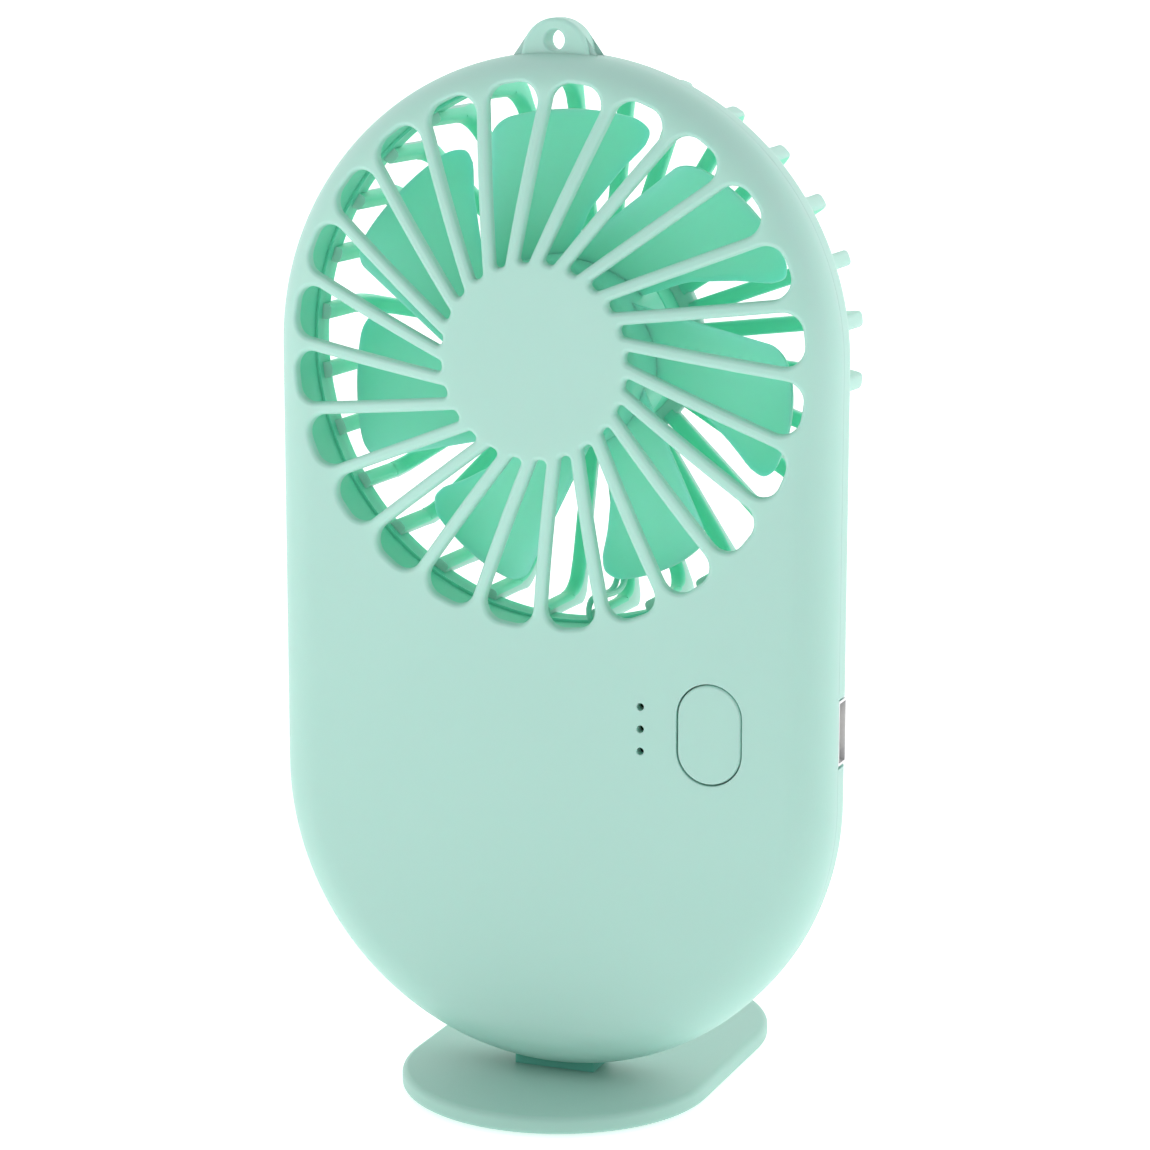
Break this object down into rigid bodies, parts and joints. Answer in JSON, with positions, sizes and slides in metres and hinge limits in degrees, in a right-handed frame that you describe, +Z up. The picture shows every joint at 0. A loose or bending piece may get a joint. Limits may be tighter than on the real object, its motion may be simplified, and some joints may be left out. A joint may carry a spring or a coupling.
{
  "type": "handheld electric fan",
  "caption": "Thin pocket electric fan with a round swept-slot front grille, bladed impeller, push button, rear rib guard, lanyard loop and a folding foot that stands it upright.",
  "frame": {"origin": "centre of the underside of the foot, on the surface the fan stands on, with the foot unfolded", "axes": "+Z up along the housing, the front grille faces -Y, and +X is to the right seen from the front"},
  "size_m": [0.0668, 0.0556, 0.1227],
  "materials": {
    "housing_plastic": "satin pale mint ABS with a fine spark texture",
    "impeller_plastic": "semi-gloss mint ABS",
    "motor_steel": "zinc plated",
    "motor_nylon": "natural nylon",
    "ferrite": "sintered",
    "bronze": "sintered bronze",
    "copper": "enamelled copper",
    "wire_red": "PVC",
    "wire_black": "PVC",
    "battery_pouch": "laminated foil pouch",
    "foam": "closed-cell foam",
    "board_laminate": "solder mask",
    "component_black": "moulded epoxy",
    "led_lens": "clear epoxy",
    "screw_steel": "nickel plated",
    "foot_rubber": "soft mint silicone"
  },
  "bodies": {
    "housing": {"front_shell": "housing_plastic", "rear_shell": "housing_plastic", "rear_guard": "housing_plastic", "motor_can": "motor_steel", "motor_end_cap": "motor_nylon", "motor_magnets": "ferrite", "motor_bushings": "bronze", "motor_brushes": "copper", "motor_terminals": "bronze", "motor_wire_red": "wire_red", "motor_wire_black": "wire_black", "battery": "battery_pouch", "battery_pad": "foam", "battery_wire_red": "wire_red", "battery_wire_black": "wire_black", "circuit_board": "board_laminate", "board_components": "component_black", "tact_switch": "component_black", "status_leds": "led_lens", "usb_port": "motor_steel", "usb_tongue": "component_black", "casing_screws": "screw_steel", "hinge_pin": "screw_steel"},
    "rotor": {"impeller": "impeller_plastic", "motor_shaft": "motor_steel", "armature_core": "motor_steel", "armature_windings": "copper", "commutator": "copper"},
    "button": {"power_button": "housing_plastic", "switch_plunger": "motor_nylon"},
    "foot": {"foot_plate": "housing_plastic", "foot_pad": "foot_rubber"}
  },
  "joints": [
    {"name": "impeller_spin", "type": "hinge", "parent": "housing", "child": "rotor", "pos_m": [0, -0.01, 0.0856], "axis": [0, 1, 0], "continuous": true},
    {"name": "button_press", "type": "slide", "parent": "housing", "child": "button", "axis": [0, 1, 0], "range_m": [0, 0.0004], "stiffness_N_per_m": 400},
    {"name": "foot_fold", "type": "hinge", "parent": "housing", "child": "foot", "pos_m": [0, -0.0086, 0.0068], "axis": [1, 0, 0], "range_deg": [0, 90]}
  ]
}
